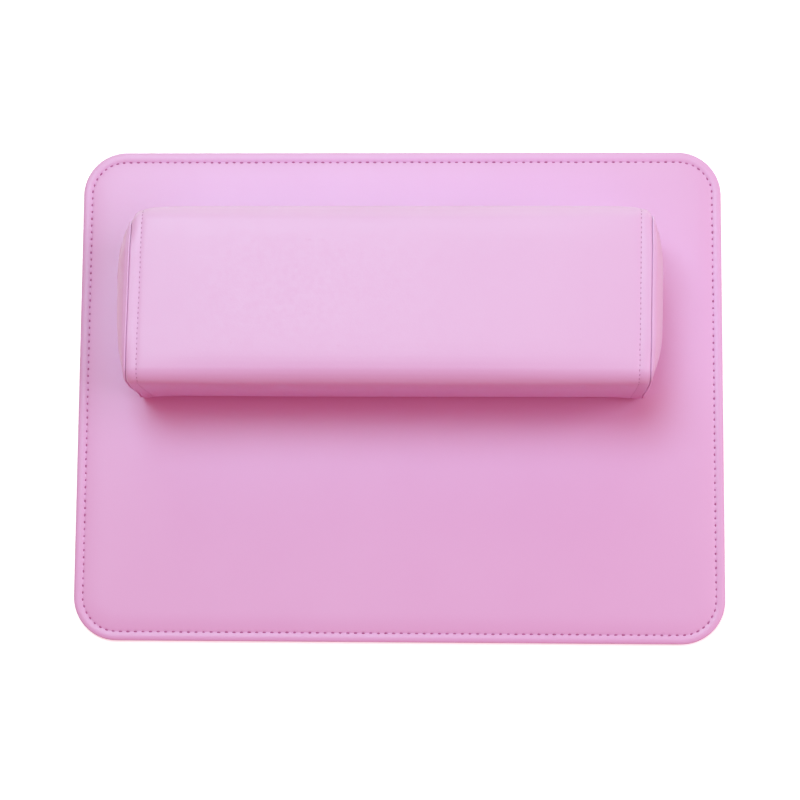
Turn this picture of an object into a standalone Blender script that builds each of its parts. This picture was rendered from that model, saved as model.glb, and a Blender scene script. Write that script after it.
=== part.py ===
"""Manicure hand rest: a padded leather mat and the box-shaped pillow that lies on it.

Units are metres, +Z is up. The origin is the middle of the mat's underside, +X runs along
the mat's long side and +Y points to its back edge, where the pillow lies.
"""

import math

import bmesh
import bpy
from mathutils import Vector

# Mat
MAT_LENGTH = 0.400
MAT_WIDTH = 0.306
MAT_CORNER_RADIUS = 0.027
MAT_FOAM_THICKNESS = 0.0025
MAT_HEM_WIDTH = 0.0095
MAT_STITCH_INSET = 0.0055

# Pillow, measured between its two end seams and over its four long faces
PILLOW_LENGTH = 0.3075
PILLOW_DEPTH = 0.108
PILLOW_HEIGHT = 0.074
PILLOW_EDGE_RADIUS = 0.010
PILLOW_X = -0.00385
PILLOW_Y = 0.051
PILLOW_SEAM_ALLOWANCE = 0.010
PILLOW_STITCH_INSET = 0.0064
PILLOW_FOLD_OPENING = 0.0003

# End panels: how far each bulges past its seam, and the flat middle of the bulge
LEFT_BULGE = 0.0125
RIGHT_BULGE = 0.0100
BULGE_FLAT_HEIGHT = 0.006
END_PANEL_SETBACK = 0.0004

# Foam block: the length over which it swells from under the seam allowances
FOAM_SHOULDER = 0.003

# Sheet and thread stock
LEATHER_THICKNESS = 0.0010
THREAD_DIAMETER = 0.00035

# Gap between pieces that touch
CLEARANCE = 0.0003

# Surfaces
LEATHER_COLOUR = (0.80, 0.50, 0.76)
LEATHER_ROUGHNESS = 0.5
FOAM_COLOUR = (0.90, 0.87, 0.78)
FOAM_ROUGHNESS = 0.95
THREAD_COLOUR = (0.72, 0.36, 0.66)
THREAD_ROUGHNESS = 0.7

# Smoothness of round shapes
CORNER_STEPS = 4
MAT_CORNER_STEPS = 5
FOLD_STEPS = 3
DOME_STEPS = 6
THREAD_RESOLUTION = 1
CHANNEL_RESOLUTION = 1

# Heights of the mat's layers
MAT_THICKNESS = 2 * (LEATHER_THICKNESS + CLEARANCE) + MAT_FOAM_THICKNESS
MAT_FOLD_RADIUS = (MAT_THICKNESS - CLEARANCE) / 4

# Depths of the pillow's layers under its outer face, next to a seam
PILLOW_FOLD_RADIUS = LEATHER_THICKNESS + PILLOW_FOLD_OPENING / 2
FLANGE_INSET = 2 * PILLOW_FOLD_RADIUS + CLEARANCE
FOAM_END_INSET = FLANGE_INSET + LEATHER_THICKNESS + CLEARANCE
FOAM_INSET = LEATHER_THICKNESS + CLEARANCE

THREAD_RADIUS = THREAD_DIAMETER / 2
CHANNEL_RADIUS = THREAD_RADIUS + CLEARANCE


def clear_scene():
    """Start from an empty scene."""
    for old in list(bpy.data.objects):
        bpy.data.objects.remove(old, do_unlink=True)


def new_collection(name):
    """A collection of the scene."""
    collection = bpy.data.collections.new(name)
    bpy.context.scene.collection.children.link(collection)
    return collection


def new_material(name, colour, roughness):
    """A plain surface with no metal in it."""
    material = bpy.data.materials.new(name)
    material.use_nodes = True
    shader = material.node_tree.nodes["Principled BSDF"]
    shader.inputs["Base Color"].default_value = (*colour, 1.0)
    shader.inputs["Roughness"].default_value = roughness
    shader.inputs["Metallic"].default_value = 0.0
    return material


def new_group(name, location, rotation):
    """An empty that carries the pieces of one sub-assembly."""
    group = bpy.data.objects.new(name, None)
    group.location = location
    group.rotation_euler = rotation
    parts.objects.link(group)
    return group


def finish(name, mesh, group, colour, roughness):
    """Name the piece, give it its own material and hang it on its sub-assembly."""
    piece = bpy.data.objects.new(name, mesh)
    piece.parent = group
    mesh.materials.clear()
    mesh.materials.append(new_material(name, colour, roughness))
    parts.objects.link(piece)
    return piece


def arc(centre, radius, start, end, steps):
    """Points on an arc, as (inset, height) pairs; 0 degrees points along +inset."""
    points = []
    for step in range(steps + 1):
        angle = math.radians(start + (end - start) * step / steps)
        points.append((centre[0] + radius * math.cos(angle), centre[1] + radius * math.sin(angle)))
    return points


def loft(size, radius, corner_steps, rings, open_start, open_end):
    """Skin through copies of one rounded rectangle, each set in from its edge and set at a height."""
    bm = bmesh.new()
    bmesh.ops.create_grid(bm, x_segments=1, y_segments=1, size=0.5)
    bmesh.ops.scale(bm, vec=(size[0], size[1], 1.0), verts=bm.verts)
    bmesh.ops.bevel(
        bm,
        geom=list(bm.verts),
        offset=radius,
        offset_type="OFFSET",
        segments=corner_steps,
        profile=0.5,
        affect="VERTICES",
    )
    first_cap = bm.faces[:][0]
    cap = first_cap
    spread = size
    level = 0.0
    for number, (inset, height) in enumerate(rings):
        if number > 0:
            grown = bmesh.ops.extrude_face_region(bm, geom=[cap])["geom"]
            if cap is not first_cap and cap.is_valid:
                bmesh.ops.delete(bm, geom=[cap], context="FACES_ONLY")
            cap = [item for item in grown if isinstance(item, bmesh.types.BMFace)][0]
        target = (size[0] - 2 * inset, size[1] - 2 * inset)
        factors = (target[0] / spread[0], target[1] / spread[1], 1.0)
        bmesh.ops.scale(bm, vec=factors, verts=cap.verts)
        bmesh.ops.translate(bm, vec=(0.0, 0.0, height - level), verts=cap.verts)
        spread = target
        level = height
    bmesh.ops.recalc_face_normals(bm, faces=bm.faces)
    spare = []
    if open_start:
        spare.append(first_cap)
    if open_end:
        spare.append(cap)
    bmesh.ops.delete(bm, geom=spare, context="FACES")
    return bm


def to_mesh(name, bm):
    """Turn the working mesh into a smooth-shaded mesh that keeps its sharp edges."""
    mesh = bpy.data.meshes.new(name)
    bm.to_mesh(mesh)
    bm.free()
    mesh.shade_smooth()
    mesh.set_sharp_from_angle(angle=math.radians(40))
    return mesh


def give_thickness(piece):
    """Grow the sheet's thickness inwards from its outer face."""
    wall = piece.modifiers.new("leather", "SOLIDIFY")
    wall.thickness = LEATHER_THICKNESS
    wall.offset = -1.0
    wall.use_even_offset = True
    wall.use_rim = True


def ring_points(width, height, radius, corner_steps):
    """Points round a rectangle with round corners, centred on the origin."""
    points = []
    for quarter in range(4):
        side_x = 1 if quarter in (0, 3) else -1
        side_y = 1 if quarter in (0, 1) else -1
        centre = Vector((side_x * (width / 2 - radius), side_y * (height / 2 - radius)))
        for step in range(corner_steps + 1):
            angle = math.radians(90 * (quarter + step / corner_steps))
            points.append(centre + radius * Vector((math.cos(angle), math.sin(angle))))
    return points


def ring_curve(name, points, thickness_radius, resolution, level, group):
    """A closed tube along the points, at one height."""
    curve = bpy.data.curves.new(name, "CURVE")
    curve.dimensions = "3D"
    curve.fill_mode = "FULL"
    curve.bevel_depth = thickness_radius
    curve.bevel_resolution = resolution
    curve.use_fill_caps = True
    spline = curve.splines.new("POLY")
    spline.points.add(len(points) - 1)
    for place, point in zip(spline.points, points):
        place.co = (point.x, point.y, 0.0, 1.0)
    spline.use_cyclic_u = True
    tube = bpy.data.objects.new(name, curve)
    tube.parent = group
    tube.location = (0.0, 0.0, level)
    return tube


def add_thread(name, points, level, group, neighbours):
    """A run of thread, and the channel it lies in, pressed into each neighbour."""
    thread = ring_curve(name, points, THREAD_RADIUS, THREAD_RESOLUTION, level, group)
    thread.data.materials.append(new_material(name, THREAD_COLOUR, THREAD_ROUGHNESS))
    parts.objects.link(thread)

    guide = ring_curve(name + "_channel", points, CHANNEL_RADIUS, CHANNEL_RESOLUTION, level, group)
    cutters.objects.link(guide)
    bpy.context.view_layer.update()
    evaluated = guide.evaluated_get(bpy.context.evaluated_depsgraph_get())
    bm = bmesh.new()
    bm.from_mesh(bpy.data.meshes.new_from_object(evaluated))
    bmesh.ops.remove_doubles(bm, verts=bm.verts, dist=1e-6)
    bmesh.ops.recalc_face_normals(bm, faces=bm.faces)
    mesh = bpy.data.meshes.new(name + "_channel")
    bm.to_mesh(mesh)
    bm.free()
    channel = bpy.data.objects.new(name + "_cutter", mesh)
    channel.matrix_world = guide.matrix_world
    channel.hide_render = True
    channel.display_type = "WIRE"
    cutters.objects.link(channel)
    bpy.data.objects.remove(guide, do_unlink=True)
    for neighbour in neighbours:
        cut = neighbour.modifiers.new(name + "_channel", "BOOLEAN")
        cut.operation = "DIFFERENCE"
        cut.solver = "EXACT"
        cut.object = channel


def mat_sheet(name, outer, inward, group):
    """One leather sheet of the mat: a flat face, a round fold and a hem turned in behind it."""
    radius = MAT_FOLD_RADIUS
    fold = arc((radius, 0.0), radius, 270, 90, 2 * FOLD_STEPS)
    rings = []
    for inset, rise in fold:
        rings.append((inset, outer + inward * (radius + rise)))
    rings.append((MAT_HEM_WIDTH, outer + inward * 2 * radius))
    bm = loft((MAT_LENGTH, MAT_WIDTH), MAT_CORNER_RADIUS, MAT_CORNER_STEPS, rings, False, True)
    sheet = finish(name, to_mesh(name, bm), group, LEATHER_COLOUR, LEATHER_ROUGHNESS)
    give_thickness(sheet)
    return sheet


def mat_foam(group):
    """Foam sheet that fills the mat inside its hems."""
    inset = MAT_HEM_WIDTH + CLEARANCE
    low = LEATHER_THICKNESS + CLEARANCE
    rings = [(inset, low), (inset, low + MAT_FOAM_THICKNESS)]
    bm = loft((MAT_LENGTH, MAT_WIDTH), MAT_CORNER_RADIUS, MAT_CORNER_STEPS, rings, False, False)
    return finish("mat_foam_sheet", to_mesh("mat_foam_sheet", bm), group, FOAM_COLOUR, FOAM_ROUGHNESS)


def build_mat():
    """Two turned sheets with foam between them, and one lockstitch line through all of it."""
    group = new_group("mat", (0.0, 0.0, 0.0), (0.0, 0.0, 0.0))
    top = mat_sheet("mat_top_sheet", MAT_THICKNESS, -1, group)
    mat_foam(group)
    bottom = mat_sheet("mat_bottom_sheet", 0.0, 1, group)
    points = ring_points(
        MAT_LENGTH - 2 * MAT_STITCH_INSET,
        MAT_WIDTH - 2 * MAT_STITCH_INSET,
        MAT_CORNER_RADIUS - MAT_STITCH_INSET,
        MAT_CORNER_STEPS,
    )
    add_thread("mat_needle_thread", points, MAT_THICKNESS - THREAD_RADIUS, group, [top])
    add_thread("mat_bobbin_thread", points, THREAD_RADIUS, group, [bottom])


def pillow_wrap(group):
    """The long panel: a box-shaped tube with both ends folded in and run back inside."""
    radius = PILLOW_FOLD_RADIUS
    seam = PILLOW_LENGTH / 2
    fold = arc((radius, seam - radius), radius, 180, 0, 2 * FOLD_STEPS)
    right = fold + [(2 * radius, seam - PILLOW_SEAM_ALLOWANCE)]
    left = [(inset, -level) for inset, level in reversed(right)]
    section = (PILLOW_DEPTH, PILLOW_HEIGHT)
    bm = loft(section, PILLOW_EDGE_RADIUS, CORNER_STEPS, left + right, True, True)
    wrap = finish("pillow_wrap", to_mesh("pillow_wrap", bm), group, LEATHER_COLOUR, LEATHER_ROUGHNESS)
    give_thickness(wrap)
    return wrap


def dome(bulge, first_inset, drop):
    """Rings of the bulging end face from a given inset to its flat middle, drop below the panel."""
    rim_height = CLEARANCE + PILLOW_FOLD_RADIUS
    reach = PILLOW_HEIGHT / 2 - BULGE_FLAT_HEIGHT / 2 - END_PANEL_SETBACK
    rise = bulge - rim_height
    rings = []
    for step in range(DOME_STEPS + 1):
        inset = first_inset + (END_PANEL_SETBACK + reach - first_inset) * step / DOME_STEPS
        remaining = 1 - (inset - END_PANEL_SETBACK) / reach
        rings.append((inset, rim_height + rise * (1 - remaining ** 2) - drop))
    return rings


def dome_slope(bulge):
    """Angle in degrees between the seam plane and the dome where it starts."""
    rise = bulge - CLEARANCE - PILLOW_FOLD_RADIUS
    reach = PILLOW_HEIGHT / 2 - BULGE_FLAT_HEIGHT / 2 - END_PANEL_SETBACK
    return math.degrees(math.atan2(2 * rise, reach))


def pillow_end(name, side, bulge, group):
    """An end panel: a flange inside the wrap, a round rim against the seam and a domed face."""
    seam = PILLOW_LENGTH / 2
    radius = PILLOW_FOLD_RADIUS
    centre = (END_PANEL_SETBACK + radius, CLEARANCE + radius)
    rim = arc(centre, radius, 270, 90 + dome_slope(bulge), FOLD_STEPS + 2)
    rings = [(FLANGE_INSET, -PILLOW_SEAM_ALLOWANCE), (FLANGE_INSET, CLEARANCE)]
    rings += rim
    rings += dome(bulge, rim[-1][0], 0.0)[1:]
    placed = [(inset, side * (seam + rise)) for inset, rise in rings]
    section = (PILLOW_DEPTH, PILLOW_HEIGHT)
    bm = loft(section, PILLOW_EDGE_RADIUS, CORNER_STEPS, placed, True, False)
    panel = finish(name, to_mesh(name, bm), group, LEATHER_COLOUR, LEATHER_ROUGHNESS)
    give_thickness(panel)
    return panel


def pillow_foam(group):
    """Foam block: full section in the middle, narrower under the seam allowances, domed at both ends."""
    seam = PILLOW_LENGTH / 2
    shoulder = seam - PILLOW_SEAM_ALLOWANCE - CLEARANCE
    halves = []
    for bulge in (LEFT_BULGE, RIGHT_BULGE):
        drop = (LEATHER_THICKNESS + CLEARANCE) / math.cos(math.radians(dome_slope(bulge)))
        rings = [(FOAM_INSET, shoulder - FOAM_SHOULDER), (FOAM_END_INSET, shoulder)]
        rings += [(inset, seam + rise) for inset, rise in dome(bulge, FOAM_END_INSET, drop)]
        halves.append(rings)
    rings = [(inset, -level) for inset, level in reversed(halves[0])] + halves[1]
    section = (PILLOW_DEPTH, PILLOW_HEIGHT)
    bm = loft(section, PILLOW_EDGE_RADIUS, CORNER_STEPS, rings, False, False)
    mesh = to_mesh("pillow_foam_block", bm)
    return finish("pillow_foam_block", mesh, group, FOAM_COLOUR, FOAM_ROUGHNESS)


def pillow_ring(inset):
    """Points round the pillow's section, drawn in from its outer face as the loft's rings are."""
    outline = ring_points(PILLOW_DEPTH, PILLOW_HEIGHT, PILLOW_EDGE_RADIUS, CORNER_STEPS)
    across = (PILLOW_DEPTH - 2 * inset) / PILLOW_DEPTH
    upward = (PILLOW_HEIGHT - 2 * inset) / PILLOW_HEIGHT
    return [Vector((point.x * across, point.y * upward)) for point in outline]


def build_pillow():
    """Foam block in a sewn cover, with its length along X."""
    middle = (PILLOW_X, PILLOW_Y, MAT_THICKNESS + CLEARANCE + PILLOW_HEIGHT / 2)
    group = new_group("pillow", middle, (math.radians(90), 0.0, math.radians(90)))
    foam = pillow_foam(group)
    wrap = pillow_wrap(group)
    seam = PILLOW_LENGTH / 2
    for word, side, bulge in (("left", -1, LEFT_BULGE), ("right", 1, RIGHT_BULGE)):
        panel = pillow_end("pillow_end_" + word, side, bulge, group)
        points = pillow_ring(PILLOW_FOLD_RADIUS)
        level = side * (seam + CLEARANCE / 2)
        add_thread("pillow_seam_thread_" + word, points, level, group, [wrap, panel])
        points = pillow_ring(THREAD_RADIUS)
        level = side * (seam - PILLOW_STITCH_INSET)
        add_thread("pillow_stitch_" + word, points, level, group, [wrap])
        points = pillow_ring(FLANGE_INSET + LEATHER_THICKNESS + CHANNEL_RADIUS)
        add_thread("pillow_bobbin_" + word, points, level, group, [foam])


clear_scene()
parts = new_collection("manicure_hand_rest")
cutters = new_collection("cutters")
build_mat()
build_pillow()
bpy.context.view_layer.update()
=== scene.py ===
"""Manicure hand rest: the finished look of the sewn mat and its foam pillow.

Units are metres in the part's own frame: +X along the mat, +Y to its back edge, +Z up.
"""

import math

import bmesh
import bpy
import numpy as np
from mathutils import Matrix, Vector


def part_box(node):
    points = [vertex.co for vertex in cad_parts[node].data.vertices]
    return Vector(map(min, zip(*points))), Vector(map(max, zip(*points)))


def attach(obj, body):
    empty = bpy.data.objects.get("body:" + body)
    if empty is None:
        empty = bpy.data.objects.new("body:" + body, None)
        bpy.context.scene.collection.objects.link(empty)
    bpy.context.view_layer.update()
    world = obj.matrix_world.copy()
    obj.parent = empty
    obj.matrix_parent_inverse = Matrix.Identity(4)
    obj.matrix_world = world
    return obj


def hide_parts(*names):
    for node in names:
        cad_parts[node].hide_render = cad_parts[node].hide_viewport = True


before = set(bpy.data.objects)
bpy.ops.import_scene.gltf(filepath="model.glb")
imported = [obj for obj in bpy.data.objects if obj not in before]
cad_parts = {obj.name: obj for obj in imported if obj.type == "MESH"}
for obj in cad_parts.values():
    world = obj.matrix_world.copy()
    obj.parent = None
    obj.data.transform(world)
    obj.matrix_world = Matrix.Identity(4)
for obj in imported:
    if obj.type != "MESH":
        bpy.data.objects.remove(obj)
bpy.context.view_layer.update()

# Mat, upper sheet
# Imitation leather: a thin polyurethane skin on a knitted back, embossed with a fine grain.
# Its edge is turned in and sewn down through both sheets, so it rounds over the rim, sinks
# along the stitches and puffs up a little over the foam inside them.
mat_low, mat_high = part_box("mat_top_sheet")
MAT_SIZE = (mat_high.x - mat_low.x, mat_high.y - mat_low.y)
MAT_TOP = mat_high.z
MAT_CORNER_RADIUS = 0.027
MAT_HEM_DEPTH = 0.0024
MAT_HEM_WIDTH = 0.0092
MAT_HEM_STEP = 0.0040
MAT_RIM_ROUNDING = 0.0026
MAT_FOLD_ROUNDING = 0.0010
MAT_WIDEST_SHARE = 0.62
MAT_STITCH_INSET = 0.0055
MAT_STITCHES = {"corner": 8, "long": 74, "short": 58}
MAT_BACK_SHIFT = 0.0007
MAT_SHIFT_FADE = 0.008
SKIN_THICKNESS = 0.0006
TOP_STEPS = 4
# The dips round the stitches, in millimetres: how deep or high they are, and how wide.
TOP_SUNK = 1.0
TOP_RIM = 0.5
MAT_PUFF_REACH = 12.0
MAT_RIM_REACH = 2.9
MAT_PIT = (0.40, 0.8)
MAT_LIPS = (0.10, 1.0)
MAT_PULL_SPREAD = 0.25
MAT_FACE_INSETS = (
    0.0031, 0.0037, 0.0042, 0.0046, 0.0049, 0.0052, 0.0055, 0.0058, 0.0061, 0.0064, 0.0068,
    0.0073, 0.0080, 0.0089, 0.0101, 0.0116, 0.0135, 0.0155, 0.0180,
)
MAT_COLOUR = "E2A9D9"
MAT_SHADE = "DFA3D5"


def srgb(code):
    """A linear colour from an sRGB hex value."""
    channels = [int(code[start:start + 2], 16) / 255 for start in (0, 2, 4)]
    linear = [c / 12.92 if c <= 0.04045 else ((c + 0.055) / 1.055) ** 2.4 for c in channels]
    return (*linear, 1.0)


def add_node(tree, kind, inputs=None, **settings):
    """One shader node with its settings; an input is a value or a (node, output) link."""
    node = tree.nodes.new("ShaderNode" + kind)
    for name, value in settings.items():
        setattr(node, name, value)
    for name, value in (inputs or {}).items():
        if isinstance(value, tuple) and isinstance(value[0], bpy.types.Node):
            tree.links.new(value[0].outputs[value[1]], node.inputs[name])
        else:
            node.inputs[name].default_value = value
    return node


def empty_material(name):
    """A node material with nothing in it yet."""
    material = bpy.data.materials.new(name)
    material.use_nodes = True
    material.node_tree.nodes.clear()
    return material


def imitation_leather(name, colour, shade):
    """Embossed polyurethane skin: even colour, a satin gloss broken by grain, soft unevenness."""
    material = empty_material(name)
    tree = material.node_tree
    place = add_node(tree, "TexCoord")
    # Dye lies unevenly over patches about 60 mm wide.
    patches = add_node(tree, "TexNoise", {"Vector": (place, "Object"), "Scale": 16.0, "Detail": 3.0})
    blend = add_node(
        tree,
        "Mix",
        {0: (patches, 0), 6: srgb(colour), 7: srgb(shade)},
        data_type="RGBA",
    )
    # Pebble grain about 0.9 mm across. The real one is near 0.4 mm, too fine to show here.
    pebbles = add_node(
        tree,
        "TexVoronoi",
        {"Vector": (place, "Object"), "Scale": 1100.0, "Randomness": 1.0},
        feature="SMOOTH_F1",
    )
    creases = add_node(
        tree,
        "TexNoise",
        {"Vector": (place, "Object"), "Scale": 420.0, "Detail": 4.0, "Roughness": 0.6},
    )
    grain = add_node(tree, "Math", {0: (pebbles, 0), 1: (creases, 0)}, operation="ADD")
    # The sheet isn't quite flat: slow swells about 45 mm apart, a tenth of a millimetre high.
    swells = add_node(tree, "TexNoise", {"Vector": (place, "Object"), "Scale": 22.0, "Detail": 1.0})
    uneven = add_node(
        tree, "Bump", {"Strength": 0.5, "Distance": 0.0002, "Height": (swells, 0)}
    )
    embossed = add_node(
        tree,
        "Bump",
        {"Strength": 0.30, "Distance": 0.00006, "Height": (grain, 0), "Normal": (uneven, 0)},
    )
    gloss = add_node(
        tree,
        "MapRange",
        {"Value": (creases, 0), "From Min": 0.3, "From Max": 0.7, "To Min": 0.40, "To Max": 0.50},
    )
    surface = add_node(
        tree,
        "BsdfPrincipled",
        {
            "Base Color": (blend, 2),
            "Roughness": (gloss, 0),
            "IOR": 1.5,
            "Normal": (embossed, 0),
        },
    )
    add_node(tree, "OutputMaterial", {"Surface": (surface, 0)})
    return material


def outline(size, radius, steps):
    """A round-cornered rectangle as one face, and for each vertex its place and way inwards."""
    bm = bmesh.new()
    column = bm.verts.layers.int.new("column")
    bmesh.ops.create_grid(bm, x_segments=1, y_segments=1, size=0.5)
    bmesh.ops.scale(bm, vec=(size[0], size[1], 1.0), verts=bm.verts)
    bmesh.ops.bevel(
        bm,
        geom=bm.verts[:],
        offset=radius,
        offset_type="OFFSET",
        segments=steps["corner"],
        profile=0.5,
        affect="VERTICES",
        material=-1,
    )
    bmesh.ops.delete(bm, geom=bm.faces[:], context="FACES_ONLY")
    for edge in [edge for edge in bm.edges if edge.calc_length() > radius]:
        along_x = abs(edge.verts[0].co.x - edge.verts[1].co.x) > radius
        cuts = steps["long" if along_x else "short"] - 1
        bmesh.ops.subdivide_edges(bm, edges=[edge], cuts=cuts)
    face = bmesh.ops.contextual_create(bm, geom=bm.edges[:])["faces"][0]
    if face.normal.z < 0:
        bmesh.ops.reverse_faces(bm, faces=[face])
    ring = list(face.verts)
    start = Vector((radius - size[0] / 2, -size[1] / 2, 0.0))
    first = min(range(len(ring)), key=lambda at: (ring[at].co - start).length)
    ring = ring[first:] + ring[:first]
    spots = []
    for number, vertex in enumerate(ring):
        vertex[column] = number
        x, y = vertex.co.x, vertex.co.y
        middle_x = min(max(x, radius - size[0] / 2), size[0] / 2 - radius)
        middle_y = min(max(y, radius - size[1] / 2), size[1] / 2 - radius)
        inward = Vector((middle_x - x, middle_y - y)).normalized()
        spots.append((Vector((x, y)), inward))
    return bm, spots


def draw_through(bm, rings, place, closed_start, closed_end):
    """Extrude the outline's face from ring to ring; place says where each vertex goes."""
    column = bm.verts.layers.int["column"]
    cap = bm.faces[:][0]
    for vertex in cap.verts:
        vertex.co = place(vertex[column], rings[0])
    first = cap
    for ring in rings[1:]:
        grown = bmesh.ops.extrude_face_region(bm, geom=[cap])["geom"]
        if cap is not first and cap.is_valid:
            bmesh.ops.delete(bm, geom=[cap], context="FACES_ONLY")
        cap = next(item for item in grown if isinstance(item, bmesh.types.BMFace))
        for vertex in cap.verts:
            vertex.co = place(vertex[column], ring)
    spare = [face for face, kept in ((first, closed_start), (cap, closed_end)) if not kept]
    if spare:
        bmesh.ops.delete(bm, geom=spare, context="FACES_ONLY")
    bmesh.ops.recalc_face_normals(bm, faces=bm.faces)


def as_piece(name, bm, material):
    """Turn the working mesh into a smooth piece of the object."""
    mesh = bpy.data.meshes.new(name)
    bm.to_mesh(mesh)
    bm.free()
    mesh.materials.append(material)
    mesh.shade_smooth()
    piece = bpy.data.objects.new(name, mesh)
    bpy.context.scene.collection.objects.link(piece)
    return piece


def give_thickness(piece, thickness):
    """Grow the leather inwards from its face."""
    wall = piece.modifiers.new("leather", "SOLIDIFY")
    wall.thickness = thickness
    wall.offset = -1.0
    wall.use_rim = True


def bell(distance, width):
    """A smooth hump one unit high."""
    return math.exp(-((distance / width) ** 2))


def mat_steps(per_stitch):
    """Vertices along each stretch of the mat's outline, a whole number to every stitch."""
    return {stretch: count * per_stitch for stretch, count in MAT_STITCHES.items()}


def mat_dip(column, inset, per_stitch, sunk, rim):
    """How far the mat's face lies under its highest level, in metres.

    It is sunk at the stitches, lies at rim on the band outside them, and rises to its highest
    level over the foam inside them.
    """
    away = (inset - MAT_STITCH_INSET) * 1000
    if away > 0:
        level = sunk * max(1 - away / MAT_PUFF_REACH, 0.0) ** 2
    else:
        level = rim + (sunk - rim) * max(1 + away / MAT_RIM_REACH, 0.0) ** 1.6
    stitch = column // per_stitch
    between = 0.5 + 0.5 * math.cos(2 * math.pi * column / per_stitch)
    uneven = 1 + MAT_PULL_SPREAD * math.sin(1.7 * stitch) * math.sin(0.9 * stitch)
    pit = MAT_PIT[0] * (1 - between) ** 0.8 * bell(away, MAT_PIT[1]) * uneven
    lips = MAT_LIPS[0] * between * bell(away, MAT_LIPS[1])
    return 0.001 * (level + pit - lips)


def mat_rings(rim_level):
    """From the hem inside, round the edge and over the face: each ring's inset and fixed dip."""
    hem = MAT_HEM_DEPTH
    fold = MAT_FOLD_ROUNDING
    widest = MAT_WIDEST_SHARE * hem
    rings = [(MAT_HEM_WIDTH, hem), (MAT_HEM_STEP, hem), (fold, hem)]
    for angle in (30, 60, 90):
        turn = math.radians(angle)
        rings.append((fold * (1 - math.sin(turn)), widest + (hem - widest) * math.cos(turn)))
    for angle in (22.5, 45, 67.5, 90):
        turn = math.radians(angle)
        dip = rim_level + (widest - rim_level) * (1 - math.sin(turn))
        rings.append((MAT_RIM_ROUNDING * (1 - math.cos(turn)), dip))
    return rings + [(inset, None) for inset in MAT_FACE_INSETS]


def back_shift(inward, inset):
    """The row of stitches lies a little further in along the back edge."""
    rise = min(inset / MAT_FACE_INSETS[0], 1.0)
    fall = min((MAT_FACE_INSETS[-1] - inset) / MAT_SHIFT_FADE, 1.0)
    return MAT_BACK_SHIFT * max(-inward.y, 0.0) ** 2 * rise * fall


def sewn_sheet(name, per_stitch, sunk, rim, upper, material):
    """One turned and sewn sheet of the mat, as an upper or a lower one."""
    bm, spots = outline(MAT_SIZE, MAT_CORNER_RADIUS, mat_steps(per_stitch))

    def place(column, ring):
        spot, inward = spots[column]
        inset, dip = ring
        if dip is None:
            dip = mat_dip(column, inset, per_stitch, sunk, rim)
        across = spot + inward * (inset + back_shift(inward, inset))
        return Vector((across.x, across.y, MAT_TOP - dip if upper else dip))

    draw_through(bm, mat_rings(0.001 * rim), place, False, True)
    sheet = as_piece(name, bm, material)
    give_thickness(sheet, SKIN_THICKNESS)
    return sheet


mat_leather = imitation_leather("lilac_imitation_leather_mat", MAT_COLOUR, MAT_SHADE)
mat_upper = sewn_sheet("mat_upper_leather", TOP_STEPS, TOP_SUNK, TOP_RIM, True, mat_leather)
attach(mat_upper, "root")
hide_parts("mat_top_sheet")

# Mat, lower sheet
# The same imitation leather, turned in and sewn face to face with the upper sheet.
# It lies flat on the table, with only the sunk line of the lower thread in it.
UNDER_STEPS = 2
UNDER_SUNK = 0.3
UNDER_RIM = 0.05
mat_lower = sewn_sheet(
    "mat_lower_leather", UNDER_STEPS, UNDER_SUNK, UNDER_RIM, False, mat_leather
)
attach(mat_lower, "root")
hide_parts("mat_bottom_sheet")

# Mat, foam sheet
# Open-cell polyurethane foam, 2.5 mm, cut to fit inside the hems. It can't be seen.
# It is cream and matt, with cells about half a millimetre wide.
FOAM_COLOUR = "F0E6D2"
FOAM_SHADE = "DCCDB0"


def open_cell_foam(name):
    """Cut polyurethane foam: matt, with painted shade in the mouths of its cells."""
    material = empty_material(name)
    tree = material.node_tree
    place = add_node(tree, "TexCoord")
    cells = add_node(tree, "TexVoronoi", {"Vector": (place, "Object"), "Scale": 2000.0})
    # Painted shade: the colour darkens across each cell with the pattern of its bump, for the shade
    # in the cells' mouths.
    blend = add_node(
        tree,
        "Mix",
        {0: (cells, 0), 6: srgb(FOAM_COLOUR), 7: srgb(FOAM_SHADE)},
        data_type="RGBA",
    )
    mouths = add_node(tree, "Bump", {"Strength": 0.6, "Distance": 0.0003, "Height": (cells, 0)})
    surface = add_node(
        tree,
        "BsdfPrincipled",
        {"Base Color": (blend, 2), "Roughness": 0.95, "Normal": (mouths, 0)},
    )
    add_node(tree, "OutputMaterial", {"Surface": (surface, 0)})
    return material


def dress_node(name, material):
    """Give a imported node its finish."""
    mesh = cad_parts[name].data
    mesh.materials.clear()
    mesh.materials.append(material)


foam = open_cell_foam("cream_open_cell_foam")
dress_node("mat_foam_sheet", foam)

# Mat stitching
# Bonded polyester thread, sewn as lockstitch: one short visible run of thread above and below
# for each stitch, with its ends pulled down into the needle holes. Its deeper pink is partly the
# thread's own colour and partly painted shade of the needle holes and pits it lies in.
# Painted shade: this thread colour is darkened in part for the shade in the needle holes.
THREAD_COLOUR = "BE5C9C"
THREAD_SHADE = "A34886"
MAT_STITCH_LENGTHS = (0.0016, 0.0021)
MAT_STITCH_WIDTH = 0.00105
MAT_STITCH_HEIGHT = 0.0006
STITCH_SINK = 0.00015
STITCH_WANDER = 0.00008
STITCH_UNEVENNESS = 0.00006
STITCH_TILT = 0.05
STITCH_SPREAD = 0.08
stitch_draws = np.random.default_rng(7)


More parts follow.
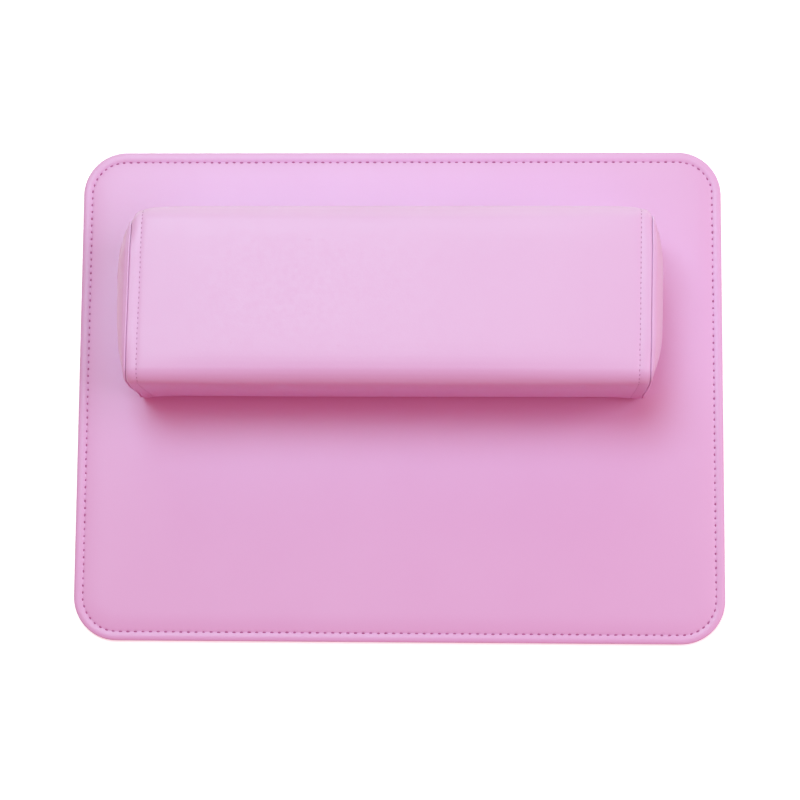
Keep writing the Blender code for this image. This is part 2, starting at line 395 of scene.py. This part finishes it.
def polyester_thread(name, colour, shade):
    """Bonded polyester thread: three plies twisted together, with painted shade in the grooves
    between them and a faint silky sheen.
    """
    material = empty_material(name)
    tree = material.node_tree
    place = add_node(tree, "UVMap")
    # The plies come round every 0.8 mm or so.
    turned = add_node(tree, "Mapping", {"Vector": (place, 0), "Scale": (2.0, 3.0, 1.0)})
    plies = add_node(
        tree,
        "TexWave",
        {"Vector": (turned, 0), "Scale": 0.5, "Distortion": 0.4},
        bands_direction="DIAGONAL",
    )
    # Painted shade: the colour darkens in the grooves between the plies, where the bump sinks.
    blend = add_node(
        tree,
        "Mix",
        {0: (plies, 0), 6: srgb(shade), 7: srgb(colour)},
        data_type="RGBA",
    )
    twist = add_node(tree, "Bump", {"Strength": 0.6, "Distance": 0.0001, "Height": (plies, 0)})
    surface = add_node(
        tree,
        "BsdfPrincipled",
        {
            "Base Color": (blend, 2),
            "Roughness": 0.6,
            "Sheen Weight": 0.2,
            "Normal": (twist, 0),
        },
    )
    add_node(tree, "OutputMaterial", {"Surface": (surface, 0)})
    return material


def thread_almond():
    """One visible run of thread, one unit long and wide, with its ends drawn to points."""
    bm = bmesh.new()
    bm.loops.layers.uv.new("UVMap")
    bmesh.ops.create_uvsphere(bm, u_segments=8, v_segments=5, radius=0.5, calc_uvs=True)
    mesh = bpy.data.meshes.new("almond")
    bm.to_mesh(mesh)
    bm.free()
    return mesh


def sew(name, stitches, width, height, material):
    """A row of stitches, each an almond of thread: its middle, its run, its up and its length."""
    almond = thread_almond()
    bm = bmesh.new()
    for middle, along, up, length in stitches:
        run = (along + STITCH_TILT * stitch_draws.normal() * along.cross(up)).normalized()
        side = up.cross(run).normalized()
        turn = Matrix((side, up, run)).transposed().to_4x4()
        stretch = length * (1 + STITCH_SPREAD * stitch_draws.normal())
        stitch = almond.copy()
        sizes = Matrix.Diagonal((width, height, stretch, 1.0))
        stitch.transform(Matrix.Translation(middle) @ turn @ sizes)
        bm.from_mesh(stitch)
        bpy.data.meshes.remove(stitch)
    bpy.data.meshes.remove(almond)
    return as_piece(name, bm, material)


def mat_stitches(sunk, upper):
    """Where the stitches of the mat lie: one in the middle of every repeat."""
    bm, spots = outline(MAT_SIZE, MAT_CORNER_RADIUS, mat_steps(2))
    bm.free()
    up = Vector((0.0, 0.0, 1.0 if upper else -1.0))
    depth = 0.001 * sunk + STITCH_SINK
    short, long = MAT_STITCH_LENGTHS
    stitches = []
    for spot, inward in spots[1::2]:
        inset = MAT_STITCH_INSET + back_shift(inward, MAT_STITCH_INSET)
        across = spot + inward * (inset + STITCH_WANDER * stitch_draws.normal())
        level = depth + STITCH_UNEVENNESS * stitch_draws.normal()
        middle = Vector((across.x, across.y, MAT_TOP - level if upper else level))
        along = Vector((inward.y, -inward.x, 0.0))
        stitches.append((middle, along, up, short + (long - short) * abs(along.x)))
    return stitches


thread = polyester_thread("deep_pink_thread_and_painted_hole_shade", THREAD_COLOUR, THREAD_SHADE)
stitch_size = (MAT_STITCH_WIDTH, MAT_STITCH_HEIGHT)
needle_row = sew("mat_needle_stitches", mat_stitches(TOP_SUNK, True), *stitch_size, thread)
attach(needle_row, "root")
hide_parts("mat_needle_thread")
bobbin_row = sew("mat_bobbin_stitches", mat_stitches(UNDER_SUNK, False), *stitch_size, thread)
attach(bobbin_row, "root")
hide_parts("mat_bobbin_thread")

# Pillow, wrap
# One panel of the same imitation leather round the top, front, underside and back of the foam.
# Its ends are turned in at the seams, and a row of top-stitching holds each down 6.4 mm in.
# The foam pushes the flat faces out a little, and the seams draw the corners in.
PILLOW_MIDDLE = (-0.00385, 0.051)
PILLOW_LENGTH = 0.3075
PILLOW_SECTION = (0.108, 0.074)
PILLOW_EDGE_RADIUS = 0.010
PILLOW_FOLD_RADIUS = 0.00065
PILLOW_STITCH_INSET = 0.0064
PILLOW_STITCHES = {"corner": 5, "long": 29, "short": 18}
PILLOW_SKEW = 0.018
PILLOW_SLACK = 0.0004
# The dips round the top-stitching, in millimetres: how deep or high they are, and how wide.
PILLOW_VALLEY = (0.20, 1.8)
PILLOW_PIT = (0.30, 0.7)
PILLOW_LIPS = (0.06, 1.0)
PILLOW_SEAM_PUFF = (0.10, 1.6)
PILLOW_PUFF_AWAY = 3.2
PILLOW_COLOUR = "E3B1DE"
PILLOW_SHADE = "E0ABDA"
CORNER_TUCK = 0.0018
BACK_TUCKS = {-1: 0.0038, 1: 0.0032}
BACK_DRAWS = {-1: 0.0050, 1: 0.0030}
TUCK_REACH = 0.026
DRAW_FADES = ((0.4, 0.0011), (0.6, 0.0065))
FRONT_FLARE = 0.0016
FLARE_REACH = 0.018
FLARE_FADE = 0.012
WRAP_HEM_WIDTH = 0.0090
WRAP_HEM_STEP = 0.0045
WRAP_STEPS = 3
WRAP_SPANS = 30
WRAP_INSETS = (
    0.0012, 0.0020, 0.0028, 0.0038, 0.0046, 0.0052, 0.0057, 0.0061, 0.0064, 0.0067, 0.0071, 0.0076,
    0.0083, 0.0093, 0.0107, 0.0127, 0.0155, 0.0190, 0.0235, 0.0290, 0.0360,
)
wrap_low, wrap_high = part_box("pillow_wrap")
PILLOW_LEVEL = (wrap_low.z + wrap_high.z) / 2
SEAMS = (PILLOW_MIDDLE[0] - PILLOW_LENGTH / 2, PILLOW_MIDDLE[0] + PILLOW_LENGTH / 2)
COVER_PRESSURE = 4.0
COVER_FRAMES = 20
SWELL_STATIONS = 40
SWELL_LIMIT = 0.0013
SWELL_FREE_HEIGHT = 0.012


def pillow_steps(per_stitch):
    """Vertices along each stretch of the pillow's section, a whole number to every stitch."""
    return {stretch: count * per_stitch for stretch, count in PILLOW_STITCHES.items()}


def on_pillow(x, across, upward):
    """A point of the pillow, with the slight skew that its cover has."""
    y = PILLOW_MIDDLE[1] + across
    return Vector((x + PILLOW_SKEW * across, y, PILLOW_LEVEL + upward))


def inflate(shell, sewn):
    """Let the foam push the cover out: cloth under pressure, held where it is sewn."""
    group = shell.vertex_groups.new(name="sewn")
    group.add(sewn, 1.0, "REPLACE")
    cloth = shell.modifiers.new("cover", "CLOTH")
    cloth.settings.vertex_group_mass = "sewn"
    cloth.settings.quality = 8
    cloth.settings.mass = 0.4
    cloth.settings.tension_stiffness = 120.0
    cloth.settings.compression_stiffness = 120.0
    cloth.settings.shear_stiffness = 60.0
    cloth.settings.bending_stiffness = 8.0
    cloth.settings.air_damping = 4.0
    cloth.settings.use_pressure = True
    cloth.settings.uniform_pressure_force = COVER_PRESSURE
    cloth.settings.effector_weights.gravity = 0.0
    cloth.collision_settings.use_collision = False
    scene = bpy.context.scene
    for step in range(1, COVER_FRAMES + 1):
        scene.frame_set(step)
    evaluated = shell.evaluated_get(bpy.context.evaluated_depsgraph_get())
    moved = [vertex.co.copy() for vertex in evaluated.data.vertices]
    shell.modifiers.remove(cloth)
    scene.frame_set(1)
    return moved


def wrap_swelling():
    """How far the wrap swells out, on a coarse net: columns round it, stations along it."""
    bm, spots = outline(PILLOW_SECTION, PILLOW_EDGE_RADIUS, pillow_steps(1))
    count = SWELL_STATIONS
    start, end = (seam - side * PILLOW_FOLD_RADIUS for seam, side in zip(SEAMS, (-1, 1)))
    stations = [start + (end - start) * at / (count - 1) for at in range(count)]

    def place(column, x):
        spot, inward = spots[column]
        inner = spot + inward * PILLOW_SLACK
        return Vector((x, inner.x, inner.y))

    draw_through(bm, stations, place, False, False)
    column = bm.verts.layers.int["column"]
    bm.verts.ensure_lookup_table()
    step = (end - start) / (count - 1)
    keys = [(vertex[column], round((vertex.co.x - start) / step)) for vertex in bm.verts]
    rest = [vertex.co.copy() for vertex in bm.verts]
    shell = as_piece("cover_trial", bm, mat_leather)
    swelling = np.zeros((len(spots), count))
    sewn = [number for number, key in enumerate(keys) if key[1] in (0, count - 1)]
    moved = inflate(shell, sewn)
    for (spot, station), before, after in zip(keys, rest, moved):
        inward = spots[spot][1]
        swelling[spot, station] = -(after - before).dot(Vector((0.0, inward.x, inward.y)))
    mesh = shell.data
    bpy.data.objects.remove(shell, do_unlink=True)
    bpy.data.meshes.remove(mesh)
    return stations, swelling


wrap_stations, wrap_swell = wrap_swelling()
wrap_swell = SWELL_LIMIT * np.tanh(wrap_swell / SWELL_LIMIT)


def pillow_dip(phase, away):
    """How far the cover sinks near its top-stitching, in metres, at one part of a stitch."""
    between = 0.5 + 0.5 * math.cos(2 * math.pi * phase)
    valley = PILLOW_VALLEY[0] * bell(away, PILLOW_VALLEY[1])
    pit = PILLOW_PIT[0] * (1 - between) * bell(away, PILLOW_PIT[1])
    lips = PILLOW_LIPS[0] * between * bell(away, PILLOW_LIPS[1])
    lips += PILLOW_SEAM_PUFF[0] * bell(away + PILLOW_PUFF_AWAY, PILLOW_SEAM_PUFF[1])
    return 0.001 * (valley + pit - lips)


def from_rounded_edge(spot):
    """The way along the section from the middle of its nearest rounded edge, in metres."""
    flat = [PILLOW_SECTION[axis] / 2 - PILLOW_EDGE_RADIUS - abs(spot[axis]) for axis in (0, 1)]
    if max(flat) > 0:
        return max(flat) + PILLOW_EDGE_RADIUS * math.pi / 4
    return PILLOW_EDGE_RADIUS * abs(math.atan2(-flat[1], -flat[0]) - math.pi / 4)


def drawn_in(spot, inward, from_seam, side):
    """How a seam changes the cover near it, as a move in the section.

    It draws the cover in, most at its back edge, and its stiff corner stands out at the foot of
    the front.
    """
    if max(spot) < 0:
        flare = FRONT_FLARE * max(1 - (from_rounded_edge(spot) / FLARE_REACH) ** 2, 0.0) ** 2
        return -inward * flare * bell(from_seam, FLARE_FADE)
    near = sum(share * math.exp(-from_seam / fade) for share, fade in DRAW_FADES)
    tuck = BACK_TUCKS[side] if min(spot) > 0 else CORNER_TUCK
    tuck *= max(1 - (from_rounded_edge(spot) / TUCK_REACH) ** 2, 0.0) ** 2
    back = BACK_DRAWS[side] * (2 * max(spot.x, 0.0) / PILLOW_SECTION[0]) ** 2
    return near * (inward * tuck - Vector((back, 0.0)))


def smooth_rise(value):
    """A smooth step from 0 to 1."""
    value = min(max(value, 0.0), 1.0)
    return value * value * (3 - 2 * value)


def wrap_rings():
    """From the hem inside the left seam to the hem inside the right one: place along X, inset."""
    radius = PILLOW_FOLD_RADIUS
    end = [(WRAP_HEM_WIDTH, 2 * radius), (WRAP_HEM_STEP, 2 * radius)]
    for angle in (-90, -60, -30, 0, 30, 60, 90):
        turn = math.radians(angle)
        end.append((radius * (1 - math.cos(turn)), radius * (1 - math.sin(turn))))
    end += [(inset, 0.0) for inset in WRAP_INSETS]
    reach = WRAP_INSETS[-1]
    left = [(SEAMS[0] + inward, depth) for inward, depth in end]
    right = [(SEAMS[1] - inward, depth) for inward, depth in reversed(end)]
    span = SEAMS[1] - SEAMS[0] - 2 * reach
    stops = range(1, WRAP_SPANS)
    middle = [(SEAMS[0] + reach + span * at / WRAP_SPANS, 0.0) for at in stops]
    return left + middle + right


def wrap_level(spot, x, phase, column):
    """How far the wrap's face stands out from its plain section, in metres: flat underneath."""
    from_seam = max(min(x - SEAMS[0], SEAMS[1] - x), 0.0)
    at = column / WRAP_STEPS
    low = int(at) % len(wrap_swell)
    share = at - int(at)
    swell = (1 - share) * np.interp(x, wrap_stations, wrap_swell[low])
    swell += share * np.interp(x, wrap_stations, wrap_swell[(low + 1) % len(wrap_swell)])
    dip = pillow_dip(phase, (from_seam - PILLOW_STITCH_INSET) * 1000)
    free = smooth_rise((spot.y + PILLOW_SECTION[1] / 2) / SWELL_FREE_HEIGHT)
    return free * (swell - PILLOW_SLACK) - dip


def wrap_point(spot, inward, x, inset):
    """A point of the wrap, at an inset from its plain section."""
    side = 1 if x > PILLOW_MIDDLE[0] else -1
    from_seam = max(min(x - SEAMS[0], SEAMS[1] - x), 0.0)
    inner = spot + inward * inset + drawn_in(spot, inward, from_seam, side)
    return on_pillow(x, inner.x, max(inner.y, inset - PILLOW_SECTION[1] / 2))


bm, section_spots = outline(PILLOW_SECTION, PILLOW_EDGE_RADIUS, pillow_steps(WRAP_STEPS))


def place_wrap(column, ring):
    x, inset = ring
    spot, inward = section_spots[column]
    level = wrap_level(spot, x, column / WRAP_STEPS, column)
    return wrap_point(spot, inward, x, inset - level)


draw_through(bm, wrap_rings(), place_wrap, False, False)
pillow_leather = imitation_leather("lilac_imitation_leather_pillow", PILLOW_COLOUR, PILLOW_SHADE)
wrap = as_piece("pillow_wrap_leather", bm, pillow_leather)
give_thickness(wrap, SKIN_THICKNESS)
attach(wrap, "root")
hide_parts("pillow_wrap")

# Pillow, end panels
# A panel of the same imitation leather closes each end. Its edge is turned in against the
# wrap's, and the foam behind it pushes it out into a dome, more on the left than on the right.
BULGES = {-1: 0.0109, 1: 0.0093}
BULGE_SLANTS = {-1: 0.20, 1: 0.02}
BULGE_BREADTHS = {-1: 3.5, 1: 4.0}
END_SETBACK = 0.0002
END_STEPS = 2
END_FLANGE = 0.0022
END_FLANGE_DEPTH = 0.009
DOME_FLAT = 0.006
DOME_RINGS = 14
DOME_SPACING = 1.6
DOME_ROUNDNESS = 0.625
DOME_REACH = PILLOW_SECTION[1] / 2 - DOME_FLAT / 2 - END_SETBACK
SEAM_GAP = 0.00015
END_RIM = SEAM_GAP + 2 * PILLOW_FOLD_RADIUS


def dome_rise(share, across, side):
    """How far a dome stands out: less near its front and back edges than in its middle."""
    back = 2 * across / PILLOW_SECTION[0]
    fullness = max(1 - abs(back) ** BULGE_BREADTHS[side], 0.0) * (1 + BULGE_SLANTS[side] * back)
    height = (BULGES[side] - END_RIM) * fullness
    return END_RIM + height * (1 - (1 - share) ** 2) ** DOME_ROUNDNESS


def end_point(spot, inward, inset, rise, side):
    """A point of an end, at an inset from the plain section and a height above the seam."""
    width = 1 - 2 * inset / PILLOW_SECTION[0]
    height = 1 - 2 * inset / PILLOW_SECTION[1]
    drawn = drawn_in(spot, inward, 0.0, side) * min(width, height)
    drawn += inward * PILLOW_SLACK * height
    across, upward = spot.x * width + drawn.x, spot.y * height + drawn.y
    upward = max(upward, -PILLOW_SECTION[1] / 2)
    return on_pillow(SEAMS[side > 0] + side * rise, across, upward)


def end_rings():
    """From the flange inside the wrap, round the rim and over the dome: inset, rise, share."""
    radius = PILLOW_FOLD_RADIUS
    rings = [(END_FLANGE, -END_FLANGE_DEPTH, 0.0), (END_FLANGE, 0.0, 0.0)]
    for angle in (-60, -30, 0, 30, 60):
        turn = math.radians(angle)
        inset = END_SETBACK + radius * (1 - math.cos(turn))
        rings.append((inset, SEAM_GAP + radius * (1 + math.sin(turn)), 0.0))
    for step in range(1, DOME_RINGS + 1):
        share = (step / DOME_RINGS) ** DOME_SPACING
        rings.append((END_SETBACK + DOME_REACH * share, None, share))
    return rings


def end_panel(word, side):
    """One domed end panel."""
    bm, spots = outline(PILLOW_SECTION, PILLOW_EDGE_RADIUS, pillow_steps(END_STEPS))

    def place(column, ring):
        spot, inward = spots[column]
        inset, rise, share = ring
        if rise is None:
            rise = dome_rise(share, spot.x * (1 - 2 * inset / PILLOW_SECTION[0]), side)
        return end_point(spot, inward, inset, rise, side)

    draw_through(bm, end_rings(), place, False, True)
    panel = as_piece("pillow_end_leather_" + word, bm, pillow_leather)
    give_thickness(panel, SKIN_THICKNESS)
    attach(panel, "root")
    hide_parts("pillow_end_" + word)


end_panel("left", -1)
end_panel("right", 1)

# Pillow, foam block
# The same foam, cut as a long block with bulging ends. The cover hides it and squeezes its
# edges, so it follows the cover's shape from inside.
FOAM_GAP = 0.0014
FOAM_SQUEEZE = 0.0022
FOAM_SQUEEZE_REACH = 0.014
FOAM_SPANS = 40
FOAM_DOME_SHARES = (0.80, 0.55, 0.38, 0.26, 0.17, 0.11)
bm, foam_spots = outline(PILLOW_SECTION, PILLOW_EDGE_RADIUS, pillow_steps(1))


def foam_rings():
    """From dome to dome: the end, the dome's share, or the place along X."""
    start, end = SEAMS
    stops = range(FOAM_SPANS + 1)
    stations = [(0, 0.0, start + (end - start) * at / FOAM_SPANS) for at in stops]
    left = [(-1, share, 0.0) for share in FOAM_DOME_SHARES]
    right = [(1, share, 0.0) for share in reversed(FOAM_DOME_SHARES)]
    return left + stations + right


def place_foam(column, ring):
    side, share, x = ring
    spot, inward = foam_spots[column]
    if side:
        inset = END_SETBACK + DOME_REACH * share
        across = spot.x * (1 - 2 * inset / PILLOW_SECTION[0])
        rise = dome_rise(share, across, side) - FOAM_GAP
        return end_point(spot, inward, inset, rise, side)
    from_seam = max(min(x - SEAMS[0], SEAMS[1] - x), 0.0)
    squeezed = FOAM_GAP + FOAM_SQUEEZE * bell(from_seam, FOAM_SQUEEZE_REACH)
    return wrap_point(spot, inward, x, squeezed + PILLOW_SLACK)


draw_through(bm, foam_rings(), place_foam, True, True)
foam_block = as_piece("pillow_foam", bm, foam)
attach(foam_block, "root")
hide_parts("pillow_foam_block")

# Pillow stitching
# Bonded polyester thread in a paler lilac, partly its own colour and partly painted shade of
# the needle holes it sinks into. A seam joins each end panel to the wrap, hidden between their
# folds. The top-stitching beside it shows as small dots, and its lower thread lies inside the cover.
# Painted shade: this thread colour is darkened in part for the shade in the needle holes.
PILLOW_THREAD_COLOUR = "CC8CBE"
PILLOW_THREAD_SHADE = "B675A8"
PILLOW_STITCH_LENGTH = 0.0014
PILLOW_STITCH_WIDTH = 0.00085
PILLOW_STITCH_HEIGHT = 0.0005
PILLOW_STITCH_WANDER = 0.00010
# Each row: the end of its node's name, its inset from the seam and its depth in the cover.
PILLOW_ROWS = {
    "top_stitches": ("stitch", PILLOW_STITCH_INSET, 0.00030),
    "bobbin_stitches": ("bobbin", PILLOW_STITCH_INSET, 0.0024),
    "seam_stitches": ("seam_thread", 0.0, 0.0022),
}


def pillow_stitches(side, inset, depth):
    """Where the stitches of one row lie, at an inset from the seam and a depth in the cover."""
    x = SEAMS[side > 0] - side * inset
    bm, spots = outline(PILLOW_SECTION, PILLOW_EDGE_RADIUS, pillow_steps(2))
    bm.free()
    stitches = []
    for number, (spot, inward) in enumerate(spots):
        if number % 2:
            level = wrap_level(spot, x, 0.0, number * WRAP_STEPS / 2)
            wander = PILLOW_STITCH_WANDER * stitch_draws.normal()
            middle = wrap_point(spot, inward, x + wander, depth - level)
            along = Vector((0.0, inward.y, -inward.x))
            up = Vector((0.0, -inward.x, -inward.y))
            stitches.append((middle, along, up, PILLOW_STITCH_LENGTH))
    return stitches


pillow_thread = polyester_thread(
    "lilac_thread_and_painted_hole_shade", PILLOW_THREAD_COLOUR, PILLOW_THREAD_SHADE
)
for word, side in (("left", -1), ("right", 1)):
    for row_name, (node, inset, depth) in PILLOW_ROWS.items():
        stitches = pillow_stitches(side, inset, depth)
        size = (PILLOW_STITCH_WIDTH, PILLOW_STITCH_HEIGHT)
        row = sew("pillow_" + row_name + "_" + word, stitches, *size, pillow_thread)
        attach(row, "root")
        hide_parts("pillow_" + node + "_" + word)

# Floor
# A wide white table top. It shows as white to the camera and in reflections, and keeps the
# shadow of the object. Away from the lamps it is lifted more, so that it stays white.
FLOOR_SIZE = 12.0
FLOOR_LIFT = 0.60
FAR_LIFT = 1.0
FAR_FROM = 0.7
FAR_TO = 2.4


def seen_ray(tree):
    """1 for rays that show a surface: straight to the camera, in a gloss or through glass."""
    paths = add_node(tree, "LightPath")
    seen = (paths, "Is Camera Ray")
    for way in ("Is Glossy Ray", "Is Transmission Ray"):
        either = add_node(tree, "Math", {0: seen, 1: (paths, way)}, operation="ADD", use_clamp=True)
        seen = (either, 0)
    return seen


bm = bmesh.new()
bmesh.ops.create_grid(bm, x_segments=1, y_segments=1, size=FLOOR_SIZE / 2)
floor_material = empty_material("white_table_top")
tree = floor_material.node_tree
seen = seen_ray(tree)
place = add_node(tree, "TexCoord")
away = add_node(tree, "VectorMath", {0: (place, "Object")}, operation="LENGTH")
needed = add_node(
    tree,
    "MapRange",
    {
        "Value": (away, "Value"),
        "From Min": FAR_FROM,
        "From Max": FAR_TO,
        "To Min": FLOOR_LIFT,
        "To Max": FAR_LIFT,
    },
    interpolation_type="SMOOTHSTEP",
)
lift = add_node(tree, "Math", {0: seen, 1: (needed, 0)}, operation="MULTIPLY")
matt = add_node(tree, "BsdfDiffuse", {"Color": (0.8, 0.8, 0.8, 1.0)})
white = add_node(tree, "Emission", {"Color": (1.0, 1.0, 1.0, 1.0), "Strength": (lift, 0)})
both = add_node(tree, "AddShader", {0: (matt, 0), 1: (white, 0)})
add_node(tree, "OutputMaterial", {"Surface": (both, 0)})
floor = as_piece("table_top", bm, floor_material)

# Light
# Soft studio light at a plain level: a large softbox high at the back left, a weaker one from
# the right and a low one from behind, all cool, in a pink room that fills the shadows. Each has
# its place, its width, its power in watts and its colour.
SOFTBOXES = {
    "softbox_back_left": ((-0.465, 0.89, 2.61), 1.2, 50.0, (0.49, 1.0, 0.96)),
    "softbox_right": ((1.60, 0.08, 1.75), 1.4, 22.5, (0.79, 0.99, 1.0)),
    "softbox_low_back": ((0.0, 2.0, 0.90), 1.5, 15.0, (0.30, 1.0, 0.47)),
}
ROOM_COLOUR = (1.0, 0.03, 0.12)
ROOM_STRENGTH = 0.48


def softbox(name, place, size, power, colour):
    """A square lamp that faces the middle of the object."""
    data = bpy.data.lights.new(name, "AREA")
    data.shape = "SQUARE"
    data.size = size
    data.energy = power
    data.color = colour
    lamp = bpy.data.objects.new(name, data)
    lamp.location = place
    aim = Vector((0.0, 0.0, 0.03)) - Vector(place)
    lamp.rotation_euler = aim.to_track_quat("-Z", "Y").to_euler()
    bpy.context.scene.collection.objects.link(lamp)


for name, (place, size, power, colour) in SOFTBOXES.items():
    softbox(name, place, size, power, colour)

world = bpy.data.worlds.new("pink_room")
bpy.context.scene.world = world
world.use_nodes = True
tree = world.node_tree
tree.nodes.clear()
room = add_node(tree, "Background", {"Color": (*ROOM_COLOUR, 1.0), "Strength": ROOM_STRENGTH})
backdrop = add_node(tree, "Background", {"Color": (1.0, 1.0, 1.0, 1.0), "Strength": 1.0})
chosen = add_node(tree, "MixShader", {0: seen_ray(tree), 1: (room, 0), 2: (backdrop, 0)})
add_node(tree, "OutputWorld", {"Surface": (chosen, 0)})

# Camera
# It looks almost straight down from above the mat's front edge, through a 90 mm lens.
camera_data = bpy.data.cameras.new("camera")
camera_data.lens = 90.0
camera_data.sensor_width = 36.0
camera = bpy.data.objects.new("camera", camera_data)
camera.location = (0.04466, -0.1451, 1.23625)
camera.rotation_euler = [math.radians(angle) for angle in (6.5576, 2.0034, 0.406)]
bpy.context.scene.collection.objects.link(camera)
bpy.context.scene.camera = camera
bpy.context.scene.view_settings.view_transform = "Standard"
